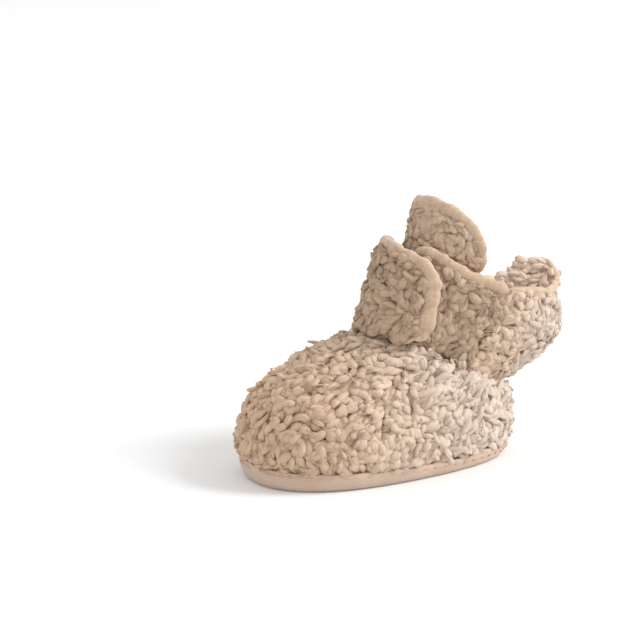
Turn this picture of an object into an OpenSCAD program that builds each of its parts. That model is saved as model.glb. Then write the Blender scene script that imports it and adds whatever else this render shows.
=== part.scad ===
// Soft wrap bootie for a baby's left foot: a curly pile upper on a thin suede sole.
// The toe points to -X, the wrap flap closes on the -Y side, and the sole rests on z = 0
// with the origin under its middle. All sizes are in millimetres.

/* [Sole] */
// Length of the outsole from toe to heel
sole_l = 116; // [108:1:122]
// Width of the outsole at its middle
sole_w = 59; // [55:1:63]
// Height of the outsole's turned-up edge at the toe
rim_toe = 8; // [6:0.5:9]
// Height of the outsole's turned-up edge at the heel
rim_heel = 4.5; // [4:0.5:5.5]
// Thickness of the outsole
sole_t = 1.4; // [1.2:0.1:1.6]
// Thickness of the foam insole
foam_t = 1.8; // [1.4:0.1:2]
// Thickness of the plush footbed
footbed_t = 2.8; // [2:0.1:3.5]

/* [Fabric layers] */
// Thickness of the outer cloth with its curly pile
pile_t = 4.5; // [3.5:0.1:4.5]
// Thickness of the lining
lining_t = 1.2; // [0.8:0.1:1.2]
// Space between the outer cloth and the lining
layer_gap = 0.7; // [0.6:0.1:0.7]
// Thickness of each half of the hook and loop fastener
pad_t = 0.75; // [0.6:0.05:0.75]

/* [Ankle and shaft] */
// Angle that the shaft leans back from upright
lean = 24; // [20:1:27]
// Height of the shaft above the ankle seam
shaft_h = 38; // [35:1:41]
// Half of the ankle opening from front to back, measured outside
ankle_r = 34.5; // [33:0.5:36]
// Half of the ankle opening from side to side, measured outside
ankle_w = 25; // [25:0.5:27]
// How far the shaft flares out at the back
flare = 24; // [16:1:26]
// Height of the tongue above the ankle seam
tongue_h = 58; // [54:1:62]

/* [Hidden] */

touch = 0.05;                       // gap between layers that are sewn together
play = 0.35;                        // gap between pieces that move apart
toe_in = 2.5;                       // how far the toe leans towards the big toe's side
turn_in = 10;                       // how far the back's near half turns in at the rim
foot_proud = 0.8;                   // how far the pile stands out past the sole
lining_d = pile_t + layer_gap;      // depth of the lining's outer face
cloth_t = lining_d + lining_t;      // both layers together
ankle_c = [23.5, 0, 43];            // middle of the ankle seam
ahead = [-cos(lean), 0, sin(lean)]; // axes of the shaft: forwards, to the near side, and up
beside = [0, -1, 0];
along = [sin(lean), 0, cos(lean)];
seam_a = 88;                        // angle of the side seams, from the toe
wing_a = [14, 96.5];                // angles that the near wing spans
back_a = [97.5, 268.5];             // angles that the back panel spans
flap_a = [-90.5, 60];               // angles that the flap spans
panel_s = 2.5;                      // height of the wing's and flap's lower edges
back_s = 0.5;                       // height of the back panel's lower edge
tongue_s = -3;                      // height of the tongue's lower edge
bind_w = 1.8;                       // width of the edge binding
bind_gap = 0.2;                     // gap between the binding and the cloth or its stitches
bind_lip = 0.3;                     // how far the binding stands out past the cloth
tongue_pile = 3.5;                  // the tongue's cloth is thinner than the rest
tongue_gap = 0.3;
thread_d = 0.6;
stitch_l = 2.2;
wing_cols = 20;                     // each panel's columns, which its edge binding shares
back_cols = 48;
flap_cols = 36;
flap_rows = 8;
tongue_cols = 30;

suede = [0.80, 0.73, 0.67];
fleece = [0.78, 0.68, 0.58];
plush = [0.86, 0.79, 0.71];
binding = [0.83, 0.74, 0.65];
thread = [0.62, 0.53, 0.45];
webbing = [0.90, 0.88, 0.84];

// ---- helpers ----

function lerp(a, b, k) = a + (b - a) * k;
function ease(k) = let (c = min(max(k, 0), 1)) c * c * (3 - 2 * c);
function bell(a, middle, width) = exp(-pow((a - middle) / width, 2));
function bezier(p, k) =
    pow(1 - k, 3) * p[0] + 3 * k * pow(1 - k, 2) * p[1] + 3 * k * k * (1 - k) * p[2]
    + pow(k, 3) * p[3];
function flatten(lists) = [for (list = lists) each list];

// A closed shell between two grids of points with the same rows and columns. The front grid
// is the one whose normal, row direction times column direction, points out of the solid.
module shell(front, back) {
    rows = len(front);
    cols = len(front[0]);
    count = rows * cols;
    function at(i, j, side) = side * count + i * cols + j;
    rim = concat([for (i = [0:rows - 2]) [i, 0]], [for (j = [0:cols - 2]) [rows - 1, j]],
                 [for (i = [rows - 1:-1:1]) [i, cols - 1]], [for (j = [cols - 1:-1:1]) [0, j]]);
    faces = flatten([
        for (i = [0:rows - 2], j = [0:cols - 2])
            [[at(i, j, 0), at(i, j + 1, 0), at(i + 1, j + 1, 0)],
             [at(i, j, 0), at(i + 1, j + 1, 0), at(i + 1, j, 0)],
             [at(i, j, 1), at(i + 1, j + 1, 1), at(i, j + 1, 1)],
             [at(i, j, 1), at(i + 1, j, 1), at(i + 1, j + 1, 1)]]]);
    edges = flatten([
        for (k = [0:len(rim) - 1])
            let (p = rim[k], q = rim[(k + 1) % len(rim)])
            [[at(p[0], p[1], 0), at(q[0], q[1], 0), at(q[0], q[1], 1)],
             [at(p[0], p[1], 0), at(q[0], q[1], 1), at(p[0], p[1], 1)]]]);
    polyhedron(concat(flatten(front), flatten(back)), concat(faces, edges));
}

// ---- surfaces: depth is measured inwards from the tips of the pile ----

// Angles run from 0 at the toe, through 90 on the near side, to 180 at the heel.
function outline(a, inset) =
    let (hx = sole_l / 2 - inset, hy = sole_w / 2 - inset, square = 1 + 0.07 * pow(sin(2 * a), 2),
         x = -hx * cos(a) * square, t = x / hx)
    [x, -hy * sin(a) * square * (1 - 0.09 * t) + toe_in * pow(max(0, -t), 2)];
function rim_z(x) = lerp(rim_toe, rim_heel, x / sole_l + 0.5);

function front_r(s) = ankle_r + 0.04 * s;
function side_r(s) = ankle_w + 0.2 * s;
// The back flares out. Its near half turns in again towards the rim, and its far half doesn't.
function back_r(a, s) =
    ankle_r + flare * sin(90 * min(s / shaft_h, 1)) + 0.1 * max(0, s - shaft_h)
    - turn_in * ease((s - 22) / 20) * ease((194 - a) / 22);
function shaft(a, s, depth) =
    ankle_c + along * s
    + ahead * cos(a) * ((cos(a) > 0 ? front_r(s) : back_r(a, s)) - depth)
    + beside * sin(a) * (side_r(s) - depth);

// The foot's surface: k runs from 0 at the sole's edge to 1 at the ankle seam.
function foot(a, k, depth) =
    let (toe = (1 + cos(a)) / 2, o = outline(a, depth - foot_proud), drop = 0.75 * depth,
         ring = shaft(a, 0, depth) - [0, 0, drop], hug = 0.08 + 0.24 * toe * toe,
         swell = 1.09 + 0.02 * cos(a))
    bezier([[o.x, o.y, rim_z(o.x) + touch],
            [o.x * swell, o.y * swell, lerp(15, 31, pow(toe, 1.3)) - drop * toe],
            [lerp(o.x * 1.06, ring.x, hug), lerp(o.y * 1.06, ring.y, hug), lerp(30, 46, toe) - drop],
            ring], k);

// The shaft's upper edge: it dips at the near side, and it has an ear at the back.
function rim_s(a) =
    shaft_h - 3 * ease((a - 30) / 40) + 5 * ease((a - 95) / 30) + 15 * bell(a, 205, 20)
    - 5 * ease((a - 210) / 30);

// How deep the near wing and the flap sit, so that the wing passes under the flap.
function wing_d(a) = (cloth_t + 2 * pad_t + play - 5.6) * ease((98 - a) / 25);
function flap_d(a) = -1.2 * ease((a + 88) / 40) - 4.4 * ease((a + 25) / 35);

// The tongue's depth at its front face.
function tongue_d(s) = 10 - 1.5 * ease((s - 36) / 16);

function wing(a, s, depth) = shaft(a, s, wing_d(a) + depth);
function flap(a, s, depth) = shaft(a, s, flap_d(a) + depth);
function tongue(a, s, depth) = shaft(a, s, tongue_d(s) + depth);

// ---- outlines of the free panels, as functions of u along and v up the panel ----

function corner(u, start, drop) =
    u < start ? 0 : drop * (1 - sqrt(max(0, 1 - pow((u - start) / (1 - start), 2))));
function flap_top(u) =
    rim_s(360 + flap_a[0]) + 2 * ease(u * 2) - 4 * ease((u - 0.55) / 0.4) - corner(u, 0.88, 9);
function flap_low(u) = panel_s + corner(u, 0.93, 4);
function flap_uv(u, v) =
    let (s = lerp(flap_low(u), flap_top(u), v))
    [lerp(flap_a[0], flap_a[1] - 16 * s / shaft_h, u), s];
function wing_uv(u, v) =
    let (a = lerp(wing_a[0], wing_a[1], u))
    [a, lerp(panel_s + corner(1 - u, 0.9, 4), rim_s(a) - corner(1 - u, 0.85, 8), v)];
function back_uv(u, v) =
    let (a = lerp(back_a[0], back_a[1], u))
    [a, lerp(back_s, rim_s(a), v)];
function tongue_uv(u, v) =
    let (w = 2 * u - 1, top = lerp(36, tongue_h, sqrt(1 - pow(abs(w), 2.2))),
         s = lerp(tongue_s, top, v))
    [w * lerp(60, 79, ease(s / 40)), s];

// ---- sheets and strips ----

// A grid of points of one face of a panel.
function face(panel, skin, cols, rows, depth) =
    [for (i = [0:cols]) [for (j = [0:rows])
        let (p = panel(i / cols, j / rows)) skin(p[0], p[1], depth)]];

module panel_layer(panel, skin, cols, rows, from, to) {
    shell(face(panel, skin, cols, rows, from), face(panel, skin, cols, rows, to));
}

module foot_layer(a0, a1, cols, rows, from, to) {
    function side(depth) =
        [for (i = [0:cols]) [for (j = [0:rows]) foot(lerp(a0, a1, i / cols), j / rows, depth)]];
    shell(side(from), side(to));
}

// A strip along a path of [angle, height] points: it lies on the left of the path as seen
// from outside, between two distances from the path and two depths.
function unit(v) = v / norm(v);
function degree(p) =
    PI / 180 * norm([sin(p[0]) * (cos(p[0]) > 0 ? front_r(p[1]) : back_r(p[0], p[1])),
                     cos(p[0]) * side_r(p[1])]);
function beside_path(path, i, gap) =
    let (last = len(path) - 1, run = path[min(i + 1, last)] - path[max(i - 1, 0)],
         mm = degree(path[i]), d = unit([run[0] * mm, run[1]]))
    path[i] + [-d[1] / mm, d[0]] * gap;

module edge_strip(path, skin, near, far, from, to) {
    function side(depth) = [for (i = [0:len(path) - 1]) [for (gap = [near, far])
        let (p = beside_path(path, i, gap)) skin(p[0], p[1], depth)]];
    shell(side(from), side(to));
}

// Small threads lying on a surface along a path, every few millimetres.
module stitches(path, skin, gap, depth, every) {
    for (i = [every:every:len(path) - 2]) {
        p = beside_path(path, i, gap);
        q = beside_path(path, i + 1, gap);
        start = skin(p[0], p[1], depth);
        run = skin(q[0], q[1], depth) - start;
        thread_along(start, run);
    }
}

module thread_along(start, run) {
    translate(start)
        rotate([0, acos(run.z / norm(run)), atan2(run.y, run.x)])
            cylinder(h = stitch_l, d = thread_d, $fn = 16);
}

// Paths along the edges, each with the cloth on its right.
wing_edge = [for (i = [wing_cols:-1:0]) wing_uv(i / wing_cols, 1)];
back_edge = [for (i = [back_cols:-1:0]) back_uv(i / back_cols, 1)];
flap_edge = concat([for (j = [0:flap_rows - 1]) flap_uv(1, j / flap_rows)],
                   [for (i = [flap_cols:-1:0]) flap_uv(i / flap_cols, 1)]);
tongue_edge = [for (i = [tongue_cols:-1:0]) tongue_uv(i / tongue_cols, 1)];

// ---- sole ----

module sole_slab(inset, h) {
    linear_extrude(h) polygon([for (a = [0:5:355]) outline(a, inset)]);
}

module outsole() color(suede)
    difference() {
        sole_slab(0, rim_toe + 1);
        translate([0, 0, sole_t]) sole_slab(sole_t, rim_toe + 1);
        rotate([90, 0, 0])
            linear_extrude(2 * sole_w, center = true)
                polygon([[-sole_l, rim_z(-sole_l)], [sole_l, rim_z(sole_l)],
                         [sole_l, 4 * rim_toe], [-sole_l, 4 * rim_toe]]);
    }

module foam_insole() color(webbing)
    translate([0, 0, sole_t + touch]) sole_slab(sole_t + 0.2, foam_t);

module footbed() color(plush)
    translate([0, 0, sole_t + foam_t + 2 * touch]) sole_slab(cloth_t - foot_proud + 0.3, footbed_t);

module sole_stitches() color(thread)
    for (a = [2.5:5:357.5]) {
        p = outline(a, -thread_d / 2 - touch);
        q = outline(a + 2, -thread_d / 2 - touch);
        thread_along([p.x, p.y, rim_z(p.x) - 1.4], [q.x - p.x, q.y - p.y, 0]);
    }

// ---- foot ----

module vamp_outer() color(fleece)
    foot_layer(-seam_a + 0.4, seam_a - 0.4, 34, 12, 0, pile_t);

module vamp_lining() color(plush)
    foot_layer(-seam_a + 0.4, seam_a - 0.4, 30, 9, lining_d, cloth_t);

module quarter_outer() color(fleece)
    foot_layer(seam_a + 0.4, 360 - seam_a - 0.4, 32, 8, 0, pile_t);

module quarter_lining() color(plush)
    foot_layer(seam_a + 0.4, 360 - seam_a - 0.4, 28, 6, lining_d, cloth_t);

module ankle_elastic() color(webbing)
    panel_layer(function (u, v) [lerp(back_a[0] + 1, back_a[1] - 1, u), lerp(1, 6, v)],
                function (a, s, d) shaft(a, s, d), 26, 1, pile_t + touch, lining_d - touch);

// ---- shaft ----

module back_panel_outer() color(fleece)
    panel_layer(function (u, v) back_uv(u, v), function (a, s, d) shaft(a, s, d),
                back_cols, 9, 0, pile_t);

module back_panel_lining() color(plush)
    panel_layer(function (u, v) back_uv(u, v), function (a, s, d) shaft(a, s, d),
                back_cols, 7, lining_d, cloth_t);

module back_binding() color(binding)
    edge_strip(back_edge, function (a, s, d) shaft(a, s, d), -bind_w, -bind_gap,
               -bind_lip, cloth_t + bind_lip);

module back_stitches() color(thread)
    stitches(back_edge, function (a, s, d) shaft(a, s, d), -bind_w / 2,
             -bind_lip - thread_d / 2 - bind_gap, 3);

module wing_outer() color(fleece)
    panel_layer(function (u, v) wing_uv(u, v), function (a, s, d) wing(a, s, d),
                wing_cols, 8, 0, pile_t);

module wing_lining() color(plush)
    panel_layer(function (u, v) wing_uv(u, v), function (a, s, d) wing(a, s, d),
                wing_cols, 7, lining_d, cloth_t);

module wing_binding() color(binding)
    edge_strip(wing_edge, function (a, s, d) wing(a, s, d), -bind_w, -bind_gap,
               -bind_lip, cloth_t + bind_lip);

module loop_pad() color(webbing)
    panel_layer(function (u, v) [lerp(21, 49, u), lerp(9, 31, v)],
                function (a, s, d) wing(a, s, d), 8, 3, -touch - pad_t, -touch);

module wing_stitches() color(thread)
    stitches(wing_edge, function (a, s, d) wing(a, s, d), -bind_w / 2,
             -bind_lip - thread_d / 2 - bind_gap, 3);

// ---- wrap flap ----

module flap_outer() color(fleece)
    panel_layer(function (u, v) flap_uv(u, v), function (a, s, d) flap(a, s, d),
                flap_cols, flap_rows, 0, pile_t);

module flap_lining() color(plush)
    panel_layer(function (u, v) flap_uv(u, v), function (a, s, d) flap(a, s, d),
                flap_cols, flap_rows, lining_d, cloth_t);

module flap_binding() color(binding)
    edge_strip(flap_edge, function (a, s, d) flap(a, s, d), -bind_w, -bind_gap,
               -bind_lip, cloth_t + bind_lip);

module hook_pad() color(webbing)
    panel_layer(function (u, v) [lerp(24, 44, u), lerp(11, 29, v)],
                function (a, s, d) flap(a, s, d), 8, 3, cloth_t + touch, cloth_t + touch + pad_t);

module flap_stitches() color(thread)
    stitches(flap_edge, function (a, s, d) flap(a, s, d), -bind_w / 2,
             -bind_lip - thread_d / 2 - bind_gap, 3);

// ---- tongue ----

module tongue_outer() color(fleece)
    panel_layer(function (u, v) tongue_uv(u, v), function (a, s, d) tongue(a, s, d),
                tongue_cols, 9, 0, tongue_pile);

module tongue_lining() color(plush)
    panel_layer(function (u, v) tongue_uv(u, v), function (a, s, d) tongue(a, s, d),
                tongue_cols, 7, tongue_pile + tongue_gap, tongue_pile + tongue_gap + lining_t);

module tongue_binding() color(binding)
    edge_strip(tongue_edge, function (a, s, d) tongue(a, s, d), -bind_w, -bind_gap,
               -bind_lip, tongue_pile + tongue_gap + lining_t + bind_lip);

module tongue_stitches() color(thread)
    stitches(tongue_edge, function (a, s, d) tongue(a, s, d), -bind_w / 2,
             -bind_lip - thread_d / 2 - bind_gap, 3);

outsole();
foam_insole();
footbed();
vamp_outer();
vamp_lining();
quarter_outer();
quarter_lining();
ankle_elastic();
back_panel_outer();
back_panel_lining();
back_binding();
sole_stitches();
back_stitches();
wing_outer();
wing_lining();
wing_binding();
loop_pad();
wing_stitches();
flap_outer();
flap_lining();
flap_binding();
hook_pad();
flap_stitches();
tongue_outer();
tongue_lining();
tongue_binding();
tongue_stitches();
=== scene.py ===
from collections import namedtuple

import bmesh
import bpy
import numpy as np
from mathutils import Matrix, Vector


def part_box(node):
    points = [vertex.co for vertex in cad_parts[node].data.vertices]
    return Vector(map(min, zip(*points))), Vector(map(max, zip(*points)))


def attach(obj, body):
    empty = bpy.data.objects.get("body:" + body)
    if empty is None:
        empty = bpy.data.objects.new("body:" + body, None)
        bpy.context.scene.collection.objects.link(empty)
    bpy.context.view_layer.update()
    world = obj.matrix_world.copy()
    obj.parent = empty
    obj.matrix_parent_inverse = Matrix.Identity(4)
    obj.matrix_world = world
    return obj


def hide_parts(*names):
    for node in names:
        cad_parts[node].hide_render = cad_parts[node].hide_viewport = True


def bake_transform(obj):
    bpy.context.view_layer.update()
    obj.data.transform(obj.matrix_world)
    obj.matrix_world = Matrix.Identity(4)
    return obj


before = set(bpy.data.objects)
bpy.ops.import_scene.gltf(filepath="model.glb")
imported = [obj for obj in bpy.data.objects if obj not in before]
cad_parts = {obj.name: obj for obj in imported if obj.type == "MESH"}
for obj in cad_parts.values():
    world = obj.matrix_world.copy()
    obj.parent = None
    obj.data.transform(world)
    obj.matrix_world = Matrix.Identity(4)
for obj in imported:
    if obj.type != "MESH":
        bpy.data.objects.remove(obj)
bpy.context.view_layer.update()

# A baby's wrap bootie: a suede sole, an upper of curly fleece, a tongue, and a shaft that a
# wide flap closes. The pattern below is in millimetres and degrees, and MM turns it into metres.
# Angles run from 0 at the toe through 90 on the near side (-Y) to 180 at the heel. Depth is
# measured inwards from the tips of the pile.
MM = 0.001


# ---- numbers of the pattern, as in the CAD design ----

SOLE_L = (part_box("outsole")[1].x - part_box("outsole")[0].x) / MM
SOLE_W = 59.0
RIM_TOE, RIM_HEEL = 8.0, 4.5
SOLE_T, FOAM_T, FOOTBED_T = 1.4, 1.8, 2.8
PILE_T, LAYER_GAP, LINING_T, PAD_T = 4.5, 0.7, 1.2, 0.75
LINING_D = PILE_T + LAYER_GAP
CLOTH_T = LINING_D + LINING_T
TONGUE_PILE, TONGUE_GAP = 3.5, 0.3
TONGUE_T = TONGUE_PILE + TONGUE_GAP + LINING_T
FOOT_PROUD, TOE_IN, TURN_IN = 0.8, 2.5, 10.0
LEAN, SHAFT_H, ANKLE_R, ANKLE_W, FLARE, TONGUE_H = 24.0, 38.0, 34.5, 25.0, 24.0, 58.0
ANKLE_C = np.array([23.5, 0.0, 43.0])
WING_A, BACK_A, FLAP_A = (14.0, 96.5), (97.5, 268.5), (-90.5, 60.0)
PANEL_S, BACK_S, TONGUE_S = 2.5, 0.5, -3.0
SEAM_A = 87.6
EAR_A, EAR_S = (176.0, 240.0), 22.0
PAD_GAP, FLAP_OUT = 0.35, 5.6
TOUCH = 0.05


def sind(a):
    return np.sin(np.radians(a))


def cosd(a):
    return np.cos(np.radians(a))


def lerp(a, b, k):
    return a + (b - a) * k


def ease(k):
    c = np.clip(k, 0, 1)
    return c * c * (3 - 2 * c)


def bell(a, middle, width):
    return np.exp(-(((a - middle) / width) ** 2))


def points(x, y, z):
    return np.stack(np.broadcast_arrays(x, y, z), -1).astype(float)


AHEAD = np.array([-cosd(LEAN), 0, sind(LEAN)])
BESIDE = np.array([0.0, -1.0, 0.0])
ALONG = np.array([sind(LEAN), 0, cosd(LEAN)])


# ---- surfaces ----

def outline(a, inset):
    half_l, half_w = SOLE_L / 2 - inset, SOLE_W / 2 - inset
    square = 1 + 0.07 * sind(2 * a) ** 2
    x = -half_l * cosd(a) * square
    t = x / half_l
    return x, -half_w * sind(a) * square * (1 - 0.09 * t) + TOE_IN * np.maximum(0, -t) ** 2


def rim_z(x):
    return lerp(RIM_TOE, RIM_HEEL, x / SOLE_L + 0.5)


def shaft_back(s):
    """How far the shaft reaches back at height s, before its rim turns in."""
    return ANKLE_R + FLARE * sind(90 * np.minimum(s / SHAFT_H, 1))


def shaft(a, s, depth):
    front = ANKLE_R + 0.04 * s
    back = (shaft_back(s) + 0.1 * np.maximum(0, s - SHAFT_H)
            - TURN_IN * ease((s - 22) / 20) * ease((194 - a) / 22))
    reach = np.where(cosd(a) > 0, front, back) - depth
    width = ANKLE_W + 0.2 * s - depth
    flat = np.broadcast_arrays(a, s, depth)[0]
    rise = np.broadcast_to(s, flat.shape)
    return (ANKLE_C + ALONG * rise[..., None] + AHEAD * (cosd(a) * reach)[..., None]
            + BESIDE * (sind(a) * width)[..., None])


def foot(a, k, depth):
    a, k, depth = np.broadcast_arrays(a, k, depth)
    toe = (1 + cosd(a)) / 2
    x, y = outline(a, depth - FOOT_PROUD)
    drop = 0.75 * depth
    ring = shaft(a, np.zeros(a.shape), depth)
    hug = 0.08 + 0.24 * toe ** 2
    swell = 1.09 + 0.02 * cosd(a)
    control = [points(x, y, rim_z(x) + TOUCH),
               points(x * swell, y * swell, lerp(15, 31, toe ** 1.3) - drop * toe),
               points(lerp(x * 1.06, ring[..., 0], hug), lerp(y * 1.06, ring[..., 1], hug),
                      lerp(30, 46, toe) - drop),
               points(ring[..., 0], ring[..., 1], ring[..., 2] - drop)]
    k = k[..., None]
    return ((1 - k) ** 3 * control[0] + 3 * k * (1 - k) ** 2 * control[1]
            + 3 * k * k * (1 - k) * control[2] + k ** 3 * control[3])


def rim_s(a):
    return (SHAFT_H - 3 * ease((a - 30) / 40) + 5 * ease((a - 95) / 30) + 15 * bell(a, 205, 20)
            - 5 * ease((a - 210) / 30))


def wing_d(a):
    """How deep the wing sits, so that it passes under the flap with both pads between them."""
    return (CLOTH_T + 2 * PAD_T + PAD_GAP - FLAP_OUT) * ease((98 - a) / 25)


def flap_d(a):
    """How far the flap stands out, as a depth: FLAP_OUT once it has crossed the front."""
    return -1.2 * ease((a + 88) / 40) - 4.4 * ease((a + 25) / 35)


def tongue_d(s):
    return 10 - 1.5 * ease((s - 36) / 16)


def wing_skin(a, s, depth):
    return shaft(a, s, wing_d(a) + depth)


def flap_skin(a, s, depth):
    return shaft(a, s, flap_d(a) + depth)


def tongue_skin(a, s, depth):
    return shaft(a, s, tongue_d(s) + depth)


# ---- the cut of each panel: u runs along it and v up it, both from 0 to 1 ----

def corner(u, start, drop):
    t = np.clip((u - start) / (1 - start), 0, 1)
    return drop * (1 - np.sqrt(1 - t * t))


def flap_cut(u, v):
    top = rim_s(360 + FLAP_A[0]) + 2 * ease(u * 2) - 4 * ease((u - 0.55) / 0.4) - corner(u, 0.88, 9)
    s = lerp(PANEL_S + corner(u, 0.93, 4), top, v)
    return lerp(FLAP_A[0], FLAP_A[1] - 16 * s / SHAFT_H, u), s


def wing_cut(u, v):
    a = lerp(*WING_A, u)
    return a, lerp(PANEL_S + corner(1 - u, 0.9, 4), rim_s(a) - corner(1 - u, 0.85, 8), v)


def back_cut(u, v):
    a = lerp(*BACK_A, u)
    return a, lerp(BACK_S, rim_s(a), v)


def tongue_cut(u, v):
    w = 2 * u - 1
    top = lerp(36, TONGUE_H, np.sqrt(np.maximum(0, 1 - np.abs(w) ** 2.2)))
    s = lerp(TONGUE_S, top, v)
    return w * lerp(60, 79, ease(s / 40)), s


def vamp_cut(u, v):
    return lerp(-SEAM_A, SEAM_A, u), v + 0 * u


def quarter_cut(u, v):
    return lerp(360 - SEAM_A, SEAM_A, 1 - u), v + 0 * u


def foot_skin(a, k, depth):
    """The foot's surface, carried straight down below the sole's edge and up past the ankle."""
    a, k, depth = np.broadcast_arrays(a, k, depth)
    at = foot(a, np.clip(k, 0, 1), depth)
    at[..., 2] += 30 * np.clip(k, -0.05, 0) + 30 * np.maximum(k - 1, 0)
    return at


def ear_cut(u, v):
    a = lerp(*EAR_A, u)
    return a, lerp(EAR_S, rim_s(a), v)


def ear_skin(a, s, depth):
    """The inner face of the back panel, where the pile wraps over the rim. Depth runs outwards."""
    return shaft(a, s, CLOTH_T - 1.0 + PILE_T - depth)


Panel = namedtuple("Panel", "name body cut skin pile thick")
VAMP = Panel("vamp", "foot", vamp_cut, foot_skin, PILE_T, CLOTH_T)
QUARTER = Panel("quarter", "foot", quarter_cut, foot_skin, PILE_T, CLOTH_T)
EAR = Panel("ear", "foot", ear_cut, ear_skin, PILE_T, CLOTH_T)
BACK = Panel("back_panel", "foot", back_cut, shaft, PILE_T, CLOTH_T)
WING = Panel("wing", "wing", wing_cut, wing_skin, PILE_T, CLOTH_T)
FLAP = Panel("flap", "flap", flap_cut, flap_skin, PILE_T, CLOTH_T)
TONGUE = Panel("tongue", "tongue", tongue_cut, tongue_skin, TONGUE_PILE, TONGUE_T)


def on_panel(panel, u, v, depth):
    """Points of a panel, in millimetres, from shares along and up it and a depth."""
    a, s = panel.cut(u, v)
    return panel.skin(a, s, depth)


# ---- meshes ----

def unit(v):
    return v / np.maximum(np.linalg.norm(v, axis=-1, keepdims=True), 1e-9)


def wobble(at, size, seed, waves=9):
    """Smooth noise of about unit spread whose bumps are about size millimetres across."""
    rng = np.random.default_rng(seed)
    total = np.zeros(at.shape[:-1])
    for _ in range(waves):
        way = unit(rng.normal(size=3)) * 2 * np.pi / size * rng.uniform(0.7, 1.4)
        total += np.sin(at @ way + rng.uniform(0, 2 * np.pi))
    return total / np.sqrt(waves / 2)


def grid_quads(rows, cols, wrap=False):
    """Quads over a rows by cols grid of points. wrap joins the last column to the first."""
    i = np.arange(rows - 1)[:, None]
    j = np.arange(cols if wrap else cols - 1)[None, :]
    k = (j + 1) % cols
    return np.stack(np.broadcast_arrays(i * cols + j, i * cols + k, (i + 1) * cols + k,
                                        (i + 1) * cols + j), -1).reshape(-1, 4)


def tube_faces(count, rings, sides):
    """The faces of closed tubes whose points follow each other ring by ring."""
    per = rings * sides
    starts = np.arange(count)[:, None, None] * per
    ends = np.stack([np.arange(sides), per - 1 - np.arange(sides)])
    return [(grid_quads(rings, sides, wrap=True)[None, :, ::-1] + starts).reshape(-1, 4),
            (ends[None] + starts).reshape(-1, sides)]


def mesh_object(name, at, faces, sharp=None):
    """A smooth object from points in millimetres and arrays of faces."""
    loops = np.concatenate([f.ravel() for f in faces])
    sizes = np.concatenate([np.full(len(f), f.shape[1]) for f in faces])
    mesh = bpy.data.meshes.new(name)
    mesh.vertices.add(len(at))
    mesh.vertices.foreach_set("co", (at * MM).astype(np.float32).ravel())
    mesh.loops.add(len(loops))
    mesh.loops.foreach_set("vertex_index", loops.astype(np.int32))
    mesh.polygons.add(len(sizes))
    mesh.polygons.foreach_set("loop_start", (np.cumsum(sizes) - sizes).astype(np.int32))
    mesh.update(calc_edges=True)
    mesh.validate()
    mesh.shade_smooth()
    if sharp is not None:
        mesh.set_sharp_from_angle(angle=np.radians(sharp))
    piece = bpy.data.objects.new(name, mesh)
    bpy.context.scene.collection.objects.link(piece)
    return piece


def point_data(piece, name, kind, values):
    field = {"FLOAT": "value", "FLOAT_VECTOR": "vector"}[kind]
    attribute = piece.data.attributes.new(name, kind, "POINT")
    attribute.data.foreach_set(field, values.astype(np.float32).ravel())


def outward(piece):
    """The piece with every face of its closed surface turned to look out."""
    work = bmesh.new()
    work.from_mesh(piece.data)
    bmesh.ops.recalc_face_normals(work, faces=work.faces)
    work.to_mesh(piece.data)
    work.free()
    return piece


def shell(name, front, back):
    """A closed sheet between two grids of points."""
    rows, cols = front.shape[:2]
    count = rows * cols
    face = grid_quads(rows, cols)
    rim = np.concatenate([np.arange(cols), np.arange(1, rows) * cols + cols - 1,
                          (rows - 1) * cols + np.arange(cols - 2, -1, -1),
                          np.arange(rows - 2, 0, -1) * cols])
    ahead = np.roll(rim, -1)
    walls = np.stack([rim, rim + count, ahead + count, ahead], -1)
    at = np.concatenate([front.reshape(-1, 3), back.reshape(-1, 3)])
    return outward(mesh_object(name, at, [face[:, ::-1], face + count, walls], sharp=60))


def tube(name, rings):
    """A closed tube over a list of rings of points, with a face at each end."""
    rows, cols = rings.shape[:2]
    last = (rows - 1) * cols + np.arange(cols)
    faces = [grid_quads(rows, cols, wrap=True)[:, ::-1], np.stack([np.arange(cols), last[::-1]])]
    return outward(mesh_object(name, rings.reshape(-1, 3), faces))


# ---- materials ----

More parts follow.
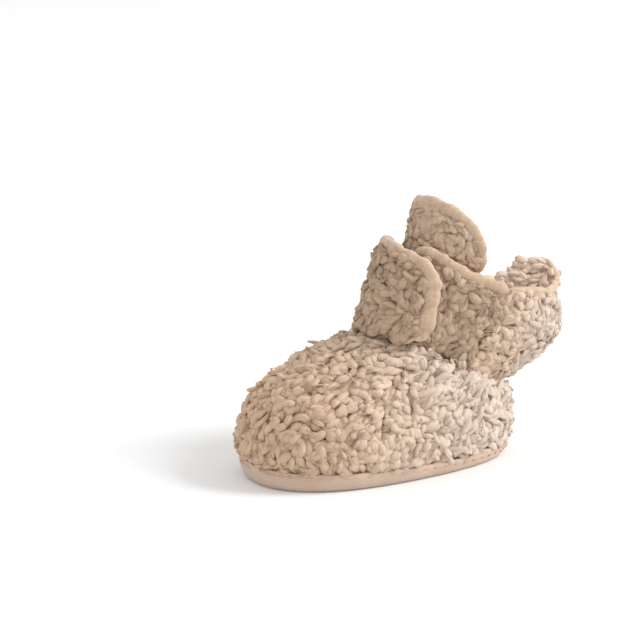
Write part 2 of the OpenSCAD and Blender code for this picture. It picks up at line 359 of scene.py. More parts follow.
class Finish:
    """A material with its Principled shader, and short names for adding nodes to it."""

    def __init__(self, name, roughness, sheen=0.0, sheen_roughness=0.5, specular=0.3):
        self.material = bpy.data.materials.new(name)
        self.material.use_nodes = True
        self.tree = self.material.node_tree
        self.shader = self.tree.nodes["Principled BSDF"]
        self.set(self.shader, {"Roughness": roughness, "Sheen Weight": sheen,
                               "Sheen Roughness": sheen_roughness, "Specular IOR Level": specular})

    def set(self, node, inputs):
        for key, value in inputs.items():
            if isinstance(value, bpy.types.NodeSocket):
                self.tree.links.new(value, node.inputs[key])
            else:
                node.inputs[key].default_value = value

    def add(self, kind, inputs=None, **settings):
        node = self.tree.nodes.new("ShaderNode" + kind)
        for key, value in settings.items():
            setattr(node, key, value)
        self.set(node, inputs or {})
        return node

    def place(self):
        return self.add("TexCoord").outputs["Object"]

    def attribute(self, name, output):
        return self.add("Attribute", attribute_name=name).outputs[output]

    def noise(self, at, scale, detail=2.0, roughness=0.5):
        return self.add("TexNoise", {"Vector": at, "Scale": scale, "Detail": detail,
                                     "Roughness": roughness}).outputs["Fac"]

    def span(self, value, low, high, to_low=0.0, to_high=1.0):
        return self.add("MapRange", {"Value": value, "From Min": low, "From Max": high,
                                     "To Min": to_low, "To Max": to_high}).outputs["Result"]

    def mix(self, share, a, b):
        node = self.add("Mix", data_type="RGBA")
        self.set(node, {0: share, 6: a, 7: b})
        return node.outputs[2]

    def brighten(self, color, value):
        return self.add("HueSaturation", {"Color": color, "Value": value}).outputs["Color"]

    def math(self, operation, a, b):
        node = self.add("Math", operation=operation)
        self.set(node, {0: a, 1: b})
        return node.outputs[0]

    def bump(self, height, strength, distance):
        node = self.add("Bump", {"Height": height, "Strength": strength, "Distance": distance})
        self.set(self.shader, {"Normal": node.outputs["Normal"]})

    def color(self, color):
        self.set(self.shader, {"Base Color": color})


def rgb(red, green, blue):
    """A linear colour from the 0 to 255 numbers of a screen."""
    return (*(np.array([red, green, blue]) / 255) ** 2.2, 1.0)


def fleece_finish():
    """Curled wool-like pile: strands along each lock, with painted shade that darkens the roots and
    undersides of the locks, and painted side shade that makes the toe and front warmer and darker
    and the heel paler.
    """
    f = Finish("fleece", roughness=1.0, specular=0.05)
    strands = f.noise(f.attribute("fibre", "Vector"), 2.6, detail=3.0, roughness=0.6)
    patches = f.noise(f.place(), 70.0, detail=3.0)
    # Painted side shade: both colours turn warmer and darker as the side-shade share rises, towards
    # the toe and front.
    pale = f.mix(f.attribute("warm", "Fac"), rgb(211, 196, 183), rgb(204, 176, 149))
    deep = f.mix(f.attribute("warm", "Fac"), rgb(210, 189, 171), rgb(194, 162, 134))
    # Painted shade: the deep colour at the locks' roots and undersides, the pale one at their tops.
    body = f.mix(f.span(f.attribute("shade", "Fac"), 0.0, 0.75), deep, pale)
    # Each lock's brightness: its own random variation, plus painted shade or light set per panel.
    lift = f.math("ADD", f.attribute("tone", "Fac"), f.span(strands, 0.3, 0.7, -0.11, 0.09))
    f.color(f.brighten(body, f.math("ADD", lift, f.span(patches, 0.3, 0.7, -0.04, 0.04))))
    f.bump(strands, 0.8, 0.0006)
    return f.material


def backing_finish():
    """The knitted ground of the fleece, seen between the locks, coloured darker than the tips of
    the locks: partly its own colour, partly painted shade in the gaps.
    """
    f = Finish("fleece_backing", roughness=0.95, sheen=0.2, specular=0.1)
    grain = f.noise(f.place(), 1400.0, detail=4.0)
    f.color(f.mix(f.span(grain, 0.35, 0.65), rgb(194, 168, 145), rgb(204, 180, 158)))
    f.bump(grain, 0.6, 0.0005)
    return f.material


def plush_finish():
    """The short brushed plush of the lining and footbed."""
    f = Finish("plush", roughness=0.95, sheen=0.4, specular=0.1)
    nap = f.noise(f.place(), 1500.0, detail=5.0, roughness=0.6)
    clumps = f.noise(f.place(), 320.0, detail=2.0)
    f.color(f.mix(f.math("MULTIPLY", f.span(clumps, 0.3, 0.7), f.span(nap, 0.25, 0.75)),
                  rgb(186, 158, 131), rgb(224, 203, 180)))
    f.bump(f.math("ADD", nap, clumps), 0.6, 0.0006)
    return f.material


def hem_finish():
    """Turned and sheared fleece along an edge: a felted surface with a fine nap."""
    f = Finish("hem", roughness=0.95, sheen=0.35, specular=0.12)
    felt = f.noise(f.place(), 1100.0, detail=6.0, roughness=0.65)
    tufts = f.noise(f.place(), 260.0, detail=3.0)
    f.color(f.mix(f.span(f.math("ADD", felt, tufts), 0.75, 1.25), rgb(184, 156, 131),
                  rgb(205, 179, 154)))
    f.bump(f.math("ADD", felt, tufts), 0.55, 0.0007)
    return f.material


def suede_finish():
    """Matt brushed suede, with a short nap that lies in soft patches."""
    f = Finish("suede", roughness=0.88, sheen=0.25, specular=0.15)
    nap = f.noise(f.place(), 2600.0, detail=4.0, roughness=0.6)
    patches = f.noise(f.place(), 60.0, detail=4.0)
    grain = f.math("ADD", f.span(nap, 0.3, 0.7, 0.0, 0.5), f.span(patches, 0.3, 0.7, 0.0, 0.5))
    f.color(f.mix(grain, rgb(184, 159, 139), rgb(203, 180, 161)))
    f.bump(nap, 0.35, 0.0003)
    return f.material


def plain_finish(name, dark, light, scale, roughness, relief, sheen=0.0):
    """Thread, foam, elastic and fastener tape: two tones and a grain of one scale."""
    f = Finish(name, roughness=roughness, sheen=sheen, specular=0.3)
    grain = f.noise(f.place(), scale, detail=4.0)
    f.color(f.mix(f.span(grain, 0.35, 0.65), dark, light))
    f.bump(grain, 0.5, relief)
    return f.material


FLEECE = fleece_finish()
BACKING = backing_finish()
PLUSH = plush_finish()
HEM = hem_finish()
SUEDE = suede_finish()
THREAD = plain_finish("thread", rgb(178, 152, 131), rgb(198, 173, 152), 3000.0, 0.7, 0.0002)
FOAM = plain_finish("foam", rgb(214, 208, 196), rgb(238, 234, 224), 1800.0, 0.9, 0.0004)
ELASTIC = plain_finish("elastic", rgb(212, 204, 192), rgb(236, 230, 220), 2500.0, 0.8, 0.0002)
TAPE = plain_finish("fastener_tape", rgb(176, 150, 124), rgb(202, 178, 152), 2200.0, 0.7, 0.0003,
                    0.2)


# ---- fixing pieces to the bodies ----

FOLDS = {"flap": (AHEAD, 14.0), "wing": (AHEAD, 12.0), "tongue": (ALONG, 12.0)}


def finish_piece(piece, material, slot, body, *nodes):
    """Gives a piece its material and hides the CAD nodes it stands for. A piece of a moving body
    keeps its place with its transform baked in; any other piece is attached to its body.
    """
    piece.data.materials.append(material)
    if body in FOLDS:
        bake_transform(piece)
    else:
        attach(piece, body)
    if nodes:
        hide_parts(*nodes)
    return piece


# ---- sheets of cloth ----

def cloth(panel, name, cols, rows, front_d, back_d, bumps, material, slot, node, seed):
    """One layer of a panel as a thin bumpy sheet, at the size it was cut to."""
    u = np.linspace(0, 1, cols)[:, None]
    v = np.linspace(0, 1, rows)[None, :]
    middle = on_panel(panel, u, v, (front_d + back_d) / 2)
    puff = bumps * (wobble(middle, 4.5, seed) + wobble(middle, 2.2, seed + 1))
    piece = shell(name, on_panel(panel, u, v, front_d + puff), on_panel(panel, u, v, back_d + puff))
    finish_piece(piece, material, slot, panel.body, *([node] if node else []))
    return piece


# ---- curly pile ----

# Lengths, widths, spacing and lift in millimetres. Flow gives the way that the locks lie, in
# degrees from the panel's run, and spread how far they stray from it. The next field gives the
# painted side shade over the panel, and the one after it the mean brightness of its locks: their
# own colour, with painted shade or light on some panels.
Pile = namedtuple("Pile", "spacing length width lift flow spread warm tone seed")
LOCK_RINGS, LOCK_SIDES, LOCK_SLIM = 9, 9, 0.88
TURN_NOISE, BEND_WAVE, BEND_NOISE, BEND_MAX, SWAY = 18, 60, 52, 165, 14
RINGLET_SHARE, RINGLET_W, RINGLET_FLAT = 0.25, (2.0, 2.9), 0.95
WILD_SHARE, WILD_LIFT, WILD_SLIM = 0.11, 1.5, 0.75
STRAND_SHARE, STRAND_FREE = 0.3, 0.06
UNDER_SPACING, UNDER_LIFT, UNDER_RIDGE = 0.9, 0.76, 0.0
UPPER_SPACING, UPPER_LIFT, UPPER_RIDGE = 1.02, 1.0, 0.11
SHADE_RISE = 1.2
# Lengths along a panel are measured over this step in u or v, at this depth.
UV_STEP, MEASURE_D = 0.004, 2.0


def flow_foot(a, k):
    """The pile of the foot lies every way, but it hangs down along the sole's edge."""
    free = 60 * sind(a * 1.3)
    return -90 + free * ease((k - 0.1) / 0.15)


def flow_shaft(a, s):
    return -80 + 35 * sind(a * 2) + 0 * s


def side_shading_foot(at):
    """1 at the toe, fading to 0.1 at the heel: painted side shade, warmer and darker at the toe
    turned from the light, paler at the lit heel.
    """
    return 1 - 0.9 * ease((at[:, 0] + 62) / 110)


# Painted side shade on the shaft: 0.8 at the front, fading to 0.2 at the back, which faces the
# light.
def side_shading_back(at):
    return 0.8 - 0.6 * ease((at[:, 0] - 30) / 40)


# The same painted side shade all over a panel.
def warm(share):
    return lambda at: np.full(len(at), share)


def thinned(at, spacing):
    """Indices of points no closer together than spacing, taken in order."""
    cells, kept = {}, []
    for i, p in enumerate(at):
        cell = tuple((p // spacing).astype(int))
        near = [j for x in (-1, 0, 1) for y in (-1, 0, 1) for z in (-1, 0, 1)
                for j in cells.get((cell[0] + x, cell[1] + y, cell[2] + z), ())]
        if all(np.sum((at[j] - p) ** 2) >= spacing * spacing for j in near):
            cells.setdefault(cell, []).append(i)
            kept.append(i)
    return np.array(kept)


def scatter(panel, spacing, rng, reach):
    """Places on a panel spread evenly over its part of the reach (u low, high, v low, high)."""
    tries, lowest, highest = 26000, -0.06, 1.05
    u, v = rng.random((2, tries))
    v = lerp(max(reach[2], lowest), min(reach[3], highest), v)
    at = on_panel(panel, u, v, MEASURE_D)
    across = on_panel(panel, u + UV_STEP, v, MEASURE_D) - at
    up = on_panel(panel, u, v + UV_STEP, MEASURE_D) - at
    area = np.linalg.norm(np.cross(across, up), axis=-1)
    good = rng.random(tries) < area / np.quantile(area, 0.98)
    kept = thinned(at[good], spacing)
    return u[good][kept], v[good][kept]


def arc_path(rings, length, bend, sway):
    """Paths in millimetres that curve by bend degrees, with their roots two fifths along."""
    t = np.linspace(0, 1, rings)[None, :]
    heading = bend[:, None] * (t - 0.4) + sway[:, None] * np.sin(2 * np.pi * t)
    middle = (heading[:, 1:] + heading[:, :-1]) / 2
    step = length[:, None] / (rings - 1)
    start = np.zeros((len(length), 1))
    x = np.concatenate([start, np.cumsum(step * cosd(middle), 1)], 1)
    y = np.concatenate([start, np.cumsum(step * sind(middle), 1)], 1)
    root = round(0.4 * (rings - 1))
    return x - x[:, [root]], y - y[:, [root]]


def kept_inside(panel, u, v, x, y, turn, reach):
    """The paths turned over the panel, those that would leave the reach turned again or shrunk,
    and which of them then stay in it."""
    at = on_panel(panel, u, v, MEASURE_D)
    across = on_panel(panel, u + UV_STEP, v, MEASURE_D) - at
    up = on_panel(panel, u, v + UV_STEP, MEASURE_D) - at
    mm_u = (np.linalg.norm(across, axis=-1) / UV_STEP)[:, None]
    mm_v = (np.linalg.norm(up, axis=-1) / UV_STEP)[:, None]

    def laid(turn, scale):
        c, s = cosd(turn)[:, None], sind(turn)[:, None]
        return scale[:, None] * (x * c - y * s), scale[:, None] * (x * s + y * c)

    def stays(turn, scale):
        px, py = laid(turn, scale)
        at_u, at_v = u[:, None] + px / mm_u, v[:, None] + py / mm_v
        return ((at_u > reach[0]) & (at_u < reach[1])
                & (at_v > reach[2]) & (at_v < reach[3])).all(1)

    scale = np.ones(len(u))
    for more_turn, less_scale in ((180, 1.0), (0, 0.65), (90, 1.0)):
        out = ~stays(turn, scale)
        turn = np.where(out, turn + more_turn, turn)
        scale = np.where(out, scale * less_scale, scale)
    return *laid(turn, scale), turn, stays(turn, scale)


class Bent:
    """Curved paths that lie over a panel, one for each root angle and height."""

    def __init__(self, panel, a, s, x, y, lift, arc):
        reach = 0.02 if panel.skin is foot_skin else 0.5
        mm_a = np.linalg.norm(panel.skin(a + 0.5, s, 1.0) - panel.skin(a - 0.5, s, 1.0), axis=-1)
        rise = panel.skin(a, s + reach, 1.0) - panel.skin(a, s - reach, 1.0)
        mm_s = np.linalg.norm(rise, axis=-1) / (2 * reach)
        self.t = np.linspace(0, 1, x.shape[1])[None, :]
        self.height = lift[:, None] * arc(self.t)
        self.middle = panel.skin(a[:, None] + x / mm_a[:, None], s[:, None] + y / mm_s[:, None],
                                 panel.pile - self.height)
        away = unit(panel.skin(a, s, 0.0) - panel.skin(a, s, panel.pile))
        way = unit(np.gradient(self.middle, axis=1))
        self.across = unit(np.cross(way, np.broadcast_to(away[:, None], way.shape)) + 1e-6)
        self.up = np.cross(self.across, way)

    def tubes(self, radius, flat, ridge, twist, sides, tall, tone, rng):
        """Points and faces of a closed ridged tube round each path, with their colouring: fibre
        coordinates, a painted shade share that is lowest at the roots and under each tube, and each
        tube's brightness.
        """
        count, rings = radius.shape
        theta = np.arange(sides) / sides * 2 * np.pi
        turned = theta[None, None] + twist[:, None, None] * self.t[..., None]
        grooves = 1 + ridge * (0.6 + 0.8 * self.t[..., None]) * np.cos(3 * theta)[None, None]
        ring = (self.across[:, :, None] * np.cos(turned)[..., None]
                + self.up[:, :, None] * (np.sin(turned) * flat[:, None, None])[..., None])
        at = self.middle[:, :, None] + ring * (radius[:, :, None] * grooves)[..., None]
        offset = rng.uniform(0, 60, (count, 3))[:, None, None]
        length = self.t[..., None] * 0.6 + 0 * turned
        fibre = points(np.cos(theta) + 0 * turned, np.sin(theta) + 0 * turned, length) + offset
        # Painted shade: 0 low down and on the underside of each tube, 1 at its top.
        height = self.height[..., None] + radius[..., None] * np.sin(turned) * flat[:, None, None]
        shade = np.clip(height / tall, 0, 1)
        tone = np.broadcast_to(tone[:, None, None], turned.shape)
        return (at.reshape(-1, 3), *tube_faces(count, rings, sides), fibre.reshape(-1, 3),
                shade.ravel(), tone.ravel())


def petals(panel, pile, u, v, rng, reach, lift, ridge):
    """Locks that rise from the backing and lie over each other. Some are round ringlets, and
    some are wild: slimmer, and standing up at their tips."""
    root = on_panel(panel, u, v, panel.pile)
    a, s = panel.cut(u, v)
    turn = (pile.flow(a, s) + pile.spread * (wobble(root, 24, pile.seed + 5)
                                             + 0.6 * wobble(root, 9, pile.seed + 6))
            + rng.normal(0, TURN_NOISE, len(u)))
    size = rng.random(len(u))
    bend = BEND_WAVE * wobble(root, 13, pile.seed + 8) + rng.normal(0, BEND_NOISE, len(u))
    bend = np.clip(bend, -BEND_MAX, BEND_MAX)
    x, y = arc_path(LOCK_RINGS, lerp(*pile.length, size), bend, rng.normal(0, SWAY, len(u)))
    x, y, turn, kept = kept_inside(panel, u, v, x, y, turn, reach)
    u, v, a, s, x, y, turn, size = (values[kept] for values in (u, v, a, s, x, y, turn, size))
    count = len(u)
    ringlet = rng.random(count) < RINGLET_SHARE
    width = np.where(ringlet, lerp(*RINGLET_W, size),
                     lerp(*pile.width, rng.random(count) * 0.6 + size * 0.4) * LOCK_SLIM)
    flat = np.where(ringlet, RINGLET_FLAT, rng.uniform(0.55, 0.78, count))
    wild = rng.random(count) < WILD_SHARE
    width *= np.where(wild, WILD_SLIM, 1)
    lift = lift * rng.uniform(0.75, 1.15, count) * np.where(wild, WILD_LIFT, 1)
    tip = np.where(wild, 0, rng.uniform(0.0, 0.5, count))[:, None]
    bent = Bent(panel, a, s, x, y, lift,
                lambda t: (np.where(wild[:, None], t, ease((t + 0.05) / 0.85))
                           - tip * ease((t - 0.7) / 0.5)))
    taper = rng.uniform(0.8, 1.35, count)[:, None]
    end = rng.uniform(0.32, 0.48, count)[:, None]
    peak = taper / (taper + end)
    k = 0.03 + 0.955 * bent.t
    bulge = (k / peak) ** taper * ((1 - k) / (1 - peak)) ** end
    made = bent.tubes(width[:, None] / 2 * bulge, flat, ridge, rng.uniform(-1.0, 1.0, count),
                      LOCK_SIDES, pile.lift + SHADE_RISE, rng.normal(pile.tone, 0.045, count), rng)
    return (u, v, turn), made


def strands(panel, pile, u, v, turn, rng, reach):
    """Fine curved strands over the locks, a few of them springing clear."""
    pick = rng.choice(len(u), int(len(u) * STRAND_SHARE), replace=False)
    u, v, turn = u[pick], v[pick], turn[pick] + rng.normal(0, 16, len(pick))
    x, y = arc_path(7, rng.uniform(4.5, 8.5, len(pick)), rng.normal(0, 80, len(pick)),
                    rng.normal(0, 20, len(pick)))
    x, y, turn, kept = kept_inside(panel, u, v, x, y, turn, reach)
    a, s = panel.cut(u[kept], v[kept])
    count = len(a)
    free = rng.random(count) < STRAND_FREE
    bent = Bent(panel, a, s, x[kept], y[kept],
                pile.lift * rng.uniform(1.0, 1.3, count) + np.where(free, 1.0, 0.6),
                lambda t: np.where(free[:, None], 0.35 + 0.65 * t,
                                   np.sin(np.pi * (0.12 + 0.7 * t))))
    radius = (rng.uniform(0.18, 0.36, count)[:, None]
              * (0.08 + 0.92 * np.sin(np.pi * (0.04 + 0.94 * bent.t)) ** 0.6))
    # The strands are a little lighter than the locks: painted light that lifts them out of the
    # shade of the crevices.
    return bent.tubes(radius, np.full(count, 0.8), 0.0, np.zeros(count), 4,
                      pile.lift + SHADE_RISE, rng.normal(pile.tone + 0.03, 0.05, count), rng)


def fleece(panel, pile, reach, *nodes):
    """The curly pile of one panel: a low layer that fills, locks over it, and fine strands."""
    rng = np.random.default_rng(pile.seed)
    low = scatter(panel, pile.spacing * UNDER_SPACING, rng, reach)
    parts = [petals(panel, pile, *low, rng, reach, pile.lift * UNDER_LIFT, UNDER_RIDGE)[1]]
    high = scatter(panel, pile.spacing * UPPER_SPACING, rng, reach)
    roots, made = petals(panel, pile, *high, rng, reach, pile.lift * UPPER_LIFT, UPPER_RIDGE)
    parts += [made, strands(panel, pile, *roots, rng, reach)]
    at = np.concatenate([part[0] for part in parts])
    at += 0.12 * wobble(at, 2.4, pile.seed + 7)[:, None] * unit(at - at.mean(0))
    starts = np.cumsum([0] + [len(part[0]) for part in parts])
    faces = [part[k] + start for k in (1, 2) for part, start in zip(parts, starts)]
    piece = mesh_object(panel.name + "_pile", at, faces)
    for k, name, kind in ((3, "fibre", "FLOAT_VECTOR"), (4, "shade", "FLOAT"),
                          (5, "tone", "FLOAT")):
        point_data(piece, name, kind, np.concatenate([part[k] for part in parts]))
    point_data(piece, "warm", "FLOAT", pile.warm(at))
    return finish_piece(piece, FLEECE, "pile", panel.body, *nodes)


# ---- hems ----

HEM_STEP, HEM_SIDES, HEM_ROUND, HEM_BEHIND = 0.8, 16, 0.75, 0.2
# The point of each ring that lies on the hem's outer face, a little way in over the cloth.
HEM_FRONT = 11
# Shares of a thread's length, and its radius at each.
THREAD_SHAPE = ((0.0, 0.08), (0.15, 0.22), (0.5, 0.26), (0.85, 0.22), (1.0, 0.08))
# Paths of u and v along a panel's edge: its upper rim, and its end at u = 1 with the rim.
RIM = (np.linspace(1, 0, 900), np.ones(900))
END_AND_RIM = (np.concatenate([np.ones(60), RIM[0]]),
               np.concatenate([np.linspace(0, 1, 60), RIM[1]]))


def even_path(a, s, step):
    """The same path with points about step millimetres apart."""
    mm = np.radians(1) * np.hypot(sind(a) * ANKLE_R, cosd(a) * ANKLE_W)
    run = np.hypot(np.diff(a) * (mm[1:] + mm[:-1]) / 2, np.diff(s))
    along = np.concatenate([[0], np.cumsum(run)])
    even = np.linspace(0, along[-1], int(along[-1] / step) + 1)
    return np.interp(even, along, a), np.interp(even, along, s)


def smooth(values, times):
    for _ in range(times):
        values = np.concatenate([values[:1], (values[:-2] + values[1:-1] + values[2:]) / 3,
                                 values[-1:]])
    return values


def hem(panel, path, in_mm, out_mm, front_d, node, seed):
    """A rolled edge that wraps both layers along a path of u and v. It reaches in_mm over the
    cloth, at the path's start and then at its end, and out_mm past the edge."""
    a, s = even_path(*panel.cut(*path), HEM_STEP)
    in_mm = lerp(*in_mm, ease((np.linspace(0, 1, len(a)) - 0.2) / 0.15))[:, None]
    back_d = panel.thick + HEM_BEHIND
    mm = np.radians(1) * np.hypot(sind(a) * np.where(cosd(a) > 0, ANKLE_R, shaft_back(s)),
                                  cosd(a) * (ANKLE_W + 0.2 * s))
    da, ds = smooth(np.gradient(a) * mm, 6), smooth(np.gradient(s), 6)
    size = np.hypot(da, ds)
    out_a, out_s = ds / size / mm, -da / size
    theta = np.arange(HEM_SIDES) / HEM_SIDES * 2 * np.pi
    gap = np.sign(np.cos(theta)) * np.abs(np.cos(theta)) ** HEM_ROUND
    lie = np.sign(np.sin(theta)) * np.abs(np.sin(theta)) ** HEM_ROUND
    run = np.arange(len(a)) * HEM_STEP
    ends = np.sqrt(np.clip(np.minimum(run, run[::-1]) / 2.5, 0.02, 1))
    at = panel.skin(a, s, MEASURE_D)
    swell = ends * (1 + 0.08 * wobble(at, 7, seed) + 0.05 * wobble(at, 2.8, seed + 1))
    middle_gap, half_gap = (out_mm - in_mm) / 2, (out_mm + in_mm) / 2
    middle_d, half_d = (front_d + back_d) / 2, (back_d - front_d) / 2
    out = middle_gap + half_gap * gap[None] * swell[:, None]
    depth = middle_d + half_d * lie[None] * swell[:, None]
    rings = panel.skin(a[:, None] + out * out_a[:, None], s[:, None] + out * out_s[:, None], depth)
    hem_stitches(panel, rings, panel.skin(a, s, 0.0) - panel.skin(a, s, 1.0))
    piece = tube(panel.name + "_hem", rings)
    return finish_piece(piece, HEM, "binding", panel.body, node)


def hem_stitches(panel, rings, away):
    """Short threads in a row along the front of a hem, sunk into its nap."""
    row = rings[:, HEM_FRONT] + 0.08 * unit(away)
    sides = 6
    theta = np.arange(sides) / sides * 2 * np.pi
    bundles = []
    for i in range(6, len(row) - 8, 4):
        run = row[i + 2] - row[i]
        side = unit(np.cross(run, away[i]))
        rise = unit(away[i])
        round_ring = side * np.cos(theta)[:, None] + rise * np.sin(theta)[:, None]
        for share, radius in THREAD_SHAPE:
            bundles.append(row[i] + run * share + round_ring * radius)
    at = np.array(bundles).reshape(-1, len(THREAD_SHAPE), sides, 3)
    piece = mesh_object(panel.name + "_thread", at.reshape(-1, 3),
                        tube_faces(len(at), len(THREAD_SHAPE), sides))
    return finish_piece(piece, THREAD, "thread", panel.body,
                        panel.name.replace("_panel", "") + "_stitches")


# ---- fastener and elastic ----

def fastener_tape(panel, kind, span_a, span_s, face_d, back_d, spacing, seed):
    """One half of the fastener: a tape with round corners and rows of loops or hooks on it."""
    points_each_way, rounding, wire_r = 28, 0.16, 0.09
    u = np.linspace(-1, 1, points_each_way)[:, None]
    v = np.linspace(-1, 1, points_each_way)[None, :]
    tuck = 1 - rounding * np.abs(u * v) ** 6
    a = lerp(*span_a, (u * tuck + 1) / 2)
    s = lerp(*span_s, (v * tuck + 1) / 2)
    tape_d = lerp(back_d, face_d, 0.5)
    ground = shell(kind + "_tape", panel.skin(a, s, min(tape_d, back_d)),
                   panel.skin(a, s, max(tape_d, back_d)))
    finish_piece(ground, TAPE, kind + "_tape", panel.body, kind + "_pad")

    rng = np.random.default_rng(seed)
    mm_a = np.linalg.norm(panel.skin(35.5, 20.0, 0.0) - panel.skin(34.5, 20.0, 0.0))
    across = np.arange(span_a[0] + 1.6, span_a[1] - 1.5, spacing / mm_a)
    up = np.arange(span_s[0] + 1.2, span_s[1] - 1.1, spacing)
    grid_a, grid_s = (x.ravel() + rng.normal(0, 0.08, x.size) for x in np.meshgrid(across, up))
    lean = rng.normal(0, 25, len(grid_a)) if kind == "loop" else np.zeros(len(grid_a))
    t = np.linspace(0, 1, 7)
    bend = np.radians(180 * t if kind == "loop" else 230 * t)
    half = 0.32 if kind == "loop" else 0.22
    run = half * (1 - np.cos(bend)) - half
    rise = np.sin(bend) * abs(face_d - tape_d)
    toward = np.sign(face_d - tape_d)
    middle = panel.skin(grid_a[:, None] + run * cosd(lean)[:, None] / mm_a,
                        grid_s[:, None] + run * sind(lean)[:, None],
                        tape_d + toward * np.maximum(rise, -0.02))
    way = unit(np.gradient(middle, axis=1))
    side = unit(np.cross(way, middle[:, [0]] - middle[:, [-1]] + 1e-3))
    other = np.cross(side, way)
    sides = 4
    theta = np.arange(sides) / sides * 2 * np.pi
    ring = side[:, :, None] * np.cos(theta)[:, None] + other[:, :, None] * np.sin(theta)[:, None]
    at = middle[:, :, None] + wire_r * ring
    piece = mesh_object(kind + "_pile", at.reshape(-1, 3), tube_faces(len(at), len(t), sides))
    return finish_piece(piece, TAPE, kind + "_tape", panel.body)


def gathered_elastic():
    """A woven ribbon round the back of the ankle, ribbed along its length and gathered."""
    a = np.linspace(BACK_A[0] + 1, BACK_A[1] - 1, 400)[:, None]
    s = np.linspace(1, 6, 13)[None, :]
    gather = 0.09 * np.sin(a * 1.7) + 0.05 * np.cos(s * 2 * np.pi / 0.85)
    piece = shell("elastic_ribbon", shaft(a, s, PILE_T + 0.22 + gather),
                  shaft(a, s, LINING_D - 0.2 + gather * 0.5))
    return finish_piece(piece, ELASTIC, "elastic", "foot", "ankle_elastic")


# ---- sole ----

def rounded_slab(name, inset, low, high, edge_r, dish, seed):
    """A flat pad with round edges in the sole's outline."""
    a = np.linspace(0, 360, 145)[:-1][None, :]
    turn = np.linspace(-90, 90, 9)
    half = (high - low) / 2
    profile = [(inset + edge_r * (1 - cosd(t)), (low + high) / 2 + half * sind(t)) for t in turn]
    shares = np.array([0.9, 0.75, 0.55, 0.35, 0.18, 0.06])
    rings = []
    for share in shares[::-1]:
        x, y = outline(a, inset + edge_r)
        rings.append(points(x * share, y * share, low))
    for ring_inset, z in profile:
        x, y = outline(a, ring_inset)
        rings.append(points(x, y, z))
    for share in shares:
        x, y = outline(a, inset + edge_r)
        sag = dish * (1 - share ** 2)
        rings.append(points(x * share, y * share, high - sag))
    at = np.concatenate(rings, 0)
    at[..., 2] += 0.06 * wobble(at, 9, seed) * (at[..., 2] > (low + high) / 2)
    return tube(name, at[::-1])


def outsole():
    """A moulded suede cup: flat below, round at the bottom edge, with a turned-up wall."""
    a = np.linspace(0, 360, 181)[:-1][None, :]
    x, _ = outline(a, 0)
    rim = rim_z(x)
    corner_r = 3.4
    rings = []
    for share in (0.06, 0.2, 0.4, 0.6, 0.8, 0.94):
        px, py = outline(a, corner_r)
        rings.append(points(px * share, py * share, 0.0))
    for t in np.linspace(0, 90, 9):
        px, py = outline(a, corner_r * (1 - sind(t)))
        rings.append(points(px, py, corner_r * (1 - cosd(t))))
    for share in (0.35, 0.65, 0.9):
        px, py = outline(a, -0.35 * np.sin(np.pi * share))
        rings.append(points(px, py, lerp(corner_r, rim, share)))
    for t in np.linspace(0, 180, 7):
        px, py = outline(a, SOLE_T / 2 * (1 - cosd(t)))
        rings.append(points(px, py, rim - 0.3 + 0.3 * sind(t)))
    for share in (0.5, 0.0):
        px, py = outline(a, SOLE_T)
        rings.append(points(px, py, lerp(SOLE_T, rim - 0.3, share)))
    for share in (0.8, 0.4, 0.06):
        px, py = outline(a, SOLE_T)
        rings.append(points(px * share, py * share, SOLE_T))
    at = np.concatenate(rings, 0)
    wall = ease(at[..., 2] / 2) * 0.16
    push = wobble(at, 17, 41) + 0.6 * wobble(at, 6, 42)
    at[..., :2] *= 1 + (wall * push / 40)[..., None]
    piece = tube("suede_outsole", at)
    return finish_piece(piece, SUEDE, "suede", "foot", "outsole")


# ---- building the bootie ----

outsole()
insole = rounded_slab("soft_insole", SOLE_T + 0.25, SOLE_T + TOUCH, SOLE_T + FOAM_T, 0.8, 0.0, 51)
finish_piece(insole, FOAM, "foam", "foot", "foam_insole")
bed_low = SOLE_T + FOAM_T + 2 * TOUCH
bed = rounded_slab("plush_footbed", CLOTH_T - FOOT_PROUD + 0.3, bed_low, bed_low + FOOTBED_T,
                   1.2, 0.9, 52)
finish_piece(bed, PLUSH, "plush", "foot", "footbed")

for panel, cols, rows, seed in ((VAMP, 120, 44, 60), (QUARTER, 110, 34, 61), (BACK, 130, 34, 62),
                                (WING, 70, 34, 63), (FLAP, 110, 34, 64), (TONGUE, 90, 50, 65)):
    inner = TONGUE_PILE + TONGUE_GAP if panel is TONGUE else LINING_D
    cloth(panel, panel.name + "_backing", cols, rows, panel.pile - 1.9, panel.pile - 0.35, 0.16,
          BACKING, "pile", None, seed)
    cloth(panel, panel.name + "_plush", cols, rows, inner + 0.15, panel.thick - 0.15, 0.07,
          PLUSH, "plush", panel.name + "_lining", seed + 20)

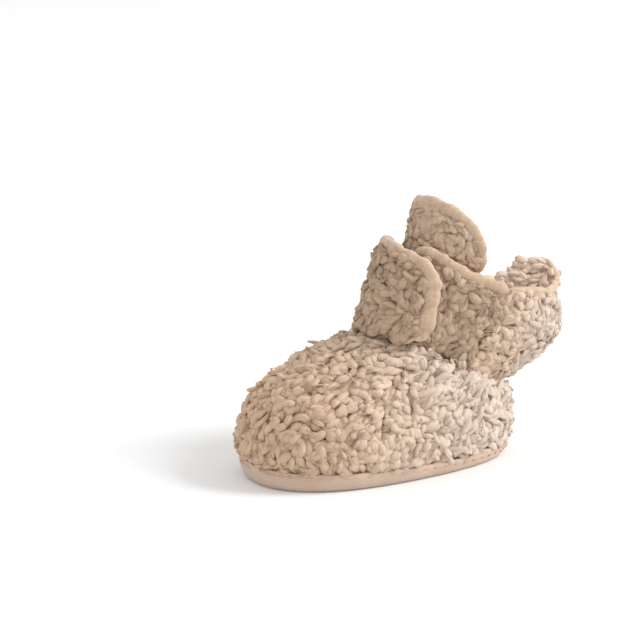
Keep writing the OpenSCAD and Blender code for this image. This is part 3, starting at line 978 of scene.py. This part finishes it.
# Flap, wing and tongue locks are set darker, as painted shade on sides turned from the light, and
# the ear's lighter, as painted light.
PILES = {
    "vamp": (VAMP, Pile(2.35, (7.8, 12.6), (3.1, 4.7), 3.5, flow_foot, 75, side_shading_foot, 1.0, 11)),
    "quarter": (QUARTER,
                Pile(2.35, (7.8, 12.6), (3.1, 4.6), 3.4, flow_foot, 80, side_shading_foot, 1.0, 12)),
    "back_panel": (BACK,
                   Pile(2.35, (8.0, 13.0), (2.9, 4.4), 3.7, flow_shaft, 50, side_shading_back, 1.0, 13)),
    "wing": (WING, Pile(2.35, (7.2, 11.2), (3.1, 4.7), 3.4, flow_shaft, 80, warm(0.85), 0.78, 14)),
    "flap": (FLAP, Pile(2.35, (7.2, 11.2), (3.1, 4.8), 3.4, flow_shaft, 80, warm(0.95), 0.75, 15)),
    "tongue": (TONGUE, Pile(2.4, (7.4, 11.4), (2.9, 4.3), 2.7, flow_shaft, 40, warm(0.8), 0.9, 26)),
    "ear": (EAR, Pile(2.35, (6.6, 10.0), (2.9, 4.3), 2.3, flow_shaft, 50, warm(0.3), 1.14, 17)),
}
# How far the tips of the locks may reach over each panel: u from, u to, v from, v to.
REACH = {
    "vamp": (-1, 2, -0.03, 1.12),
    "quarter": (-1, 2, -0.03, 1.12),
    "back_panel": (-0.02, 1.02, -0.08, 0.97),
    "wing": (0.02, 1.03, -0.12, 0.92),
    "flap": (-0.03, 0.95, -0.12, 0.93),
    "tongue": (0.035, 0.955, -0.02, 0.935),
    "ear": (0.09, 0.93, 0.0, 0.97),
}
for name, (panel, pile) in PILES.items():
    fleece(panel, pile, REACH[name], *([] if name == "ear" else [name + "_outer"]))

# Panel, path, reach over the cloth at its start and end, reach past the edge, front depth,
# node and seed.
HEMS = (
    (FLAP, END_AND_RIM, (4.8, 3.2), 1.3, 1.3, "flap_binding", 71),
    (WING, RIM, (3.6, 3.6), 1.3, 1.4, "wing_binding", 72),
    (BACK, RIM, (1.6, 1.6), 1.0, 2.6, "back_binding", 73),
    (TONGUE, RIM, (3.4, 3.4), 1.4, 0.5, "tongue_binding", 74),
)
for row in HEMS:
    hem(*row)

fastener_tape(WING, "loop", (21, 49), (9, 31), -TOUCH - PAD_T, -TOUCH, 1.0, 81)
fastener_tape(FLAP, "hook", (24, 44), (11, 29), CLOTH_T + TOUCH + PAD_T, CLOTH_T + TOUCH, 0.8,
              82)
gathered_elastic()

# The seam of the sole is the CAD node itself, in thread.
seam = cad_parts["sole_stitches"]
seam.data.materials.clear()
seam.data.materials.append(THREAD)


# ---- floor, light and camera ----

def stage():
    """A wide pale floor that runs on far behind the object."""
    sides = 96
    a = np.linspace(0, 360, sides + 1)[:-1][None, :]
    radius_m = np.array([0.001, 0.3, 1.0, 3.0, 10.0, 40.0])[:, None]
    at = points(radius_m * cosd(a), radius_m * sind(a), 0 * radius_m) / MM
    faces = [grid_quads(len(radius_m), sides, wrap=True), np.arange(sides)[None, ::-1]]
    floor = mesh_object("floor", at.reshape(-1, 3), faces)
    f = Finish("floor", roughness=0.9, specular=0.1)
    f.color(f.mix(f.noise(f.place(), 40.0), (0.78, 0.78, 0.78, 1), (0.8, 0.8, 0.8, 1)))
    f.set(f.shader, {"Emission Color": (1.0, 1.0, 1.0, 1.0), "Emission Strength": 0.04})
    floor.data.materials.append(f.material)


def area_light(name, at, aim, size, power):
    data = bpy.data.lights.new(name, "AREA")
    data.shape = "DISK"
    data.size = size
    data.energy = power
    lamp = bpy.data.objects.new(name, data)
    lamp.location = at
    lamp.rotation_euler = (Vector(aim) - Vector(at)).to_track_quat("-Z", "Y").to_euler()
    bpy.context.scene.collection.objects.link(lamp)


def camera(at, aim, lens):
    data = bpy.data.cameras.new("camera")
    data.lens = lens
    eye = bpy.data.objects.new("camera", data)
    eye.location = at
    eye.rotation_euler = (Vector(aim) - Vector(at)).to_track_quat("-Z", "Y").to_euler()
    bpy.context.scene.collection.objects.link(eye)
    bpy.context.scene.camera = eye


stage()
world = bpy.data.worlds.new("studio")
world.use_nodes = True
world.node_tree.nodes["Background"].inputs["Color"].default_value = (1, 1, 1, 1)
world.node_tree.nodes["Background"].inputs["Strength"].default_value = 0.97
bpy.context.scene.world = world
bpy.context.scene.view_settings.view_transform = "Standard"
area_light("key", (3.95, -2.55, 4.0), (0.0, 0.0, 0.05), 2.5, 275.0)
camera((-0.3852, -0.6163, 0.2222), (-0.0118, 0.0274, 0.0555), 104.7)
